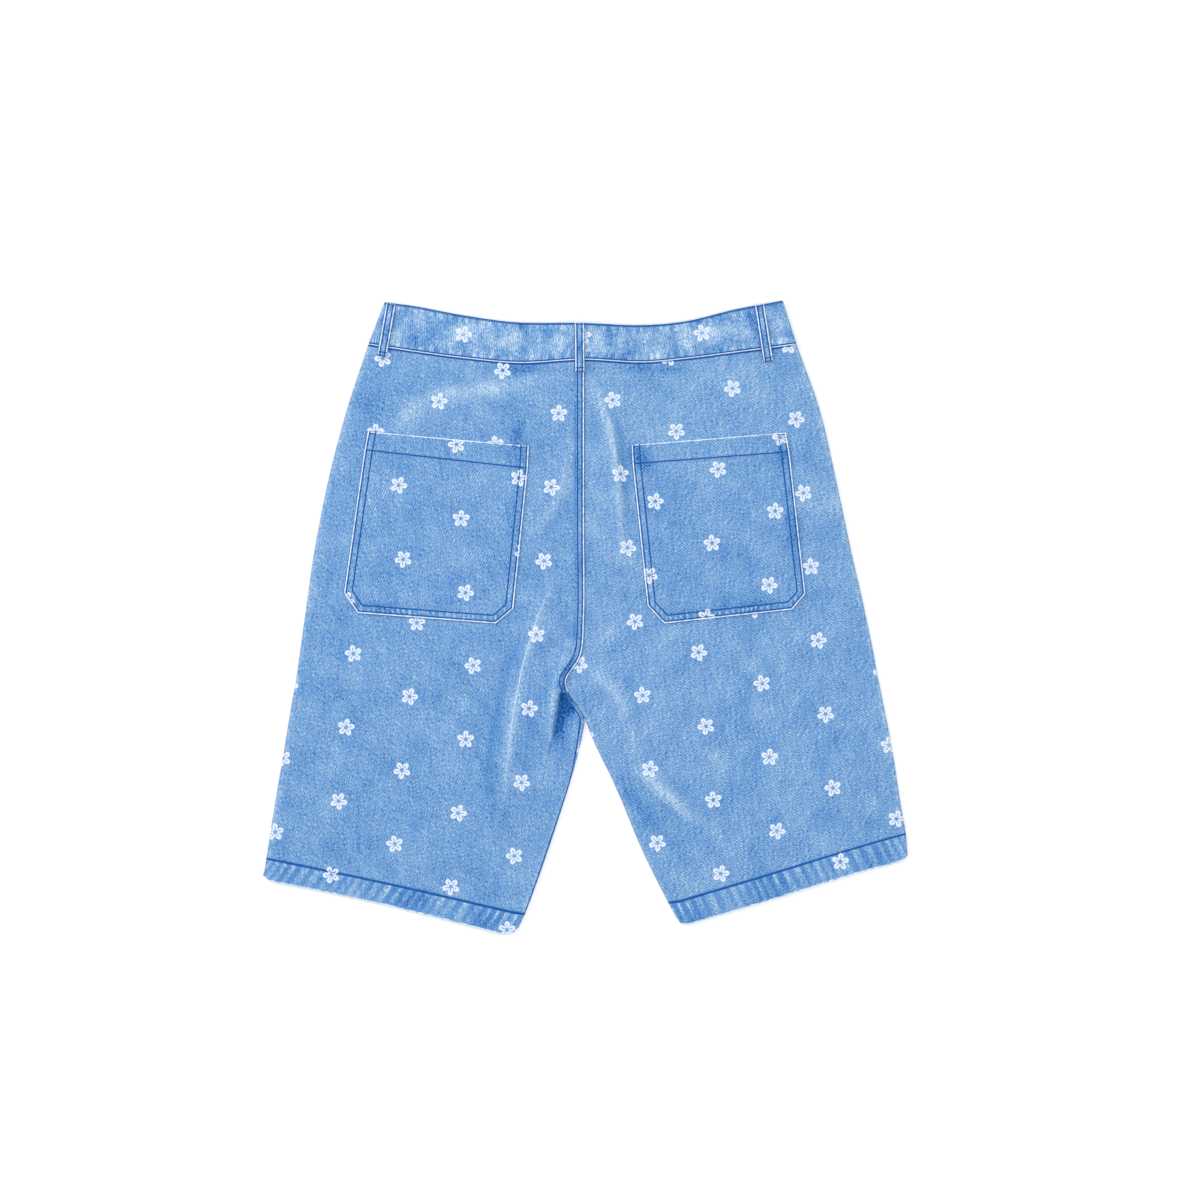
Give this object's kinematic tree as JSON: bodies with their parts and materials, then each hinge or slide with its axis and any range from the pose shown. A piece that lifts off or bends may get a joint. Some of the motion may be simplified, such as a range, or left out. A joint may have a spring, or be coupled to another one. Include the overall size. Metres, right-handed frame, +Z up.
{
  "type": "denim shorts laid flat, back side up",
  "caption": "Loose knee-length denim shorts laid flat on their front, with a doubled waistband, belt loops, patch pockets on the back and turned hems.",
  "frame": {"origin": "centre of the outline's box, on the surface that the shorts lie on", "axes": "+Z up from that surface and out of the back of the shorts, +Y towards the waist, +X to the right of someone who faces the back of the shorts"},
  "size_m": [0.644, 0.635, 0.014],
  "materials": {
    "denim": "matte washed twill",
    "band_denim": "matte washed twill",
    "thread": "navy sewing thread",
    "button_metal": "dull plated metal"
  },
  "bodies": {
    "root": {"back_left": "denim", "back_right": "denim", "front_left": "denim", "front_right": "denim", "waistband": "band_denim", "loop_back_left": "band_denim", "loop_back_centre": "band_denim", "loop_back_right": "band_denim", "loop_front_left": "band_denim", "loop_front_right": "band_denim", "waist_button": "button_metal", "pocket_left": "denim", "pocket_right": "denim"}
  },
  "joints": []
}
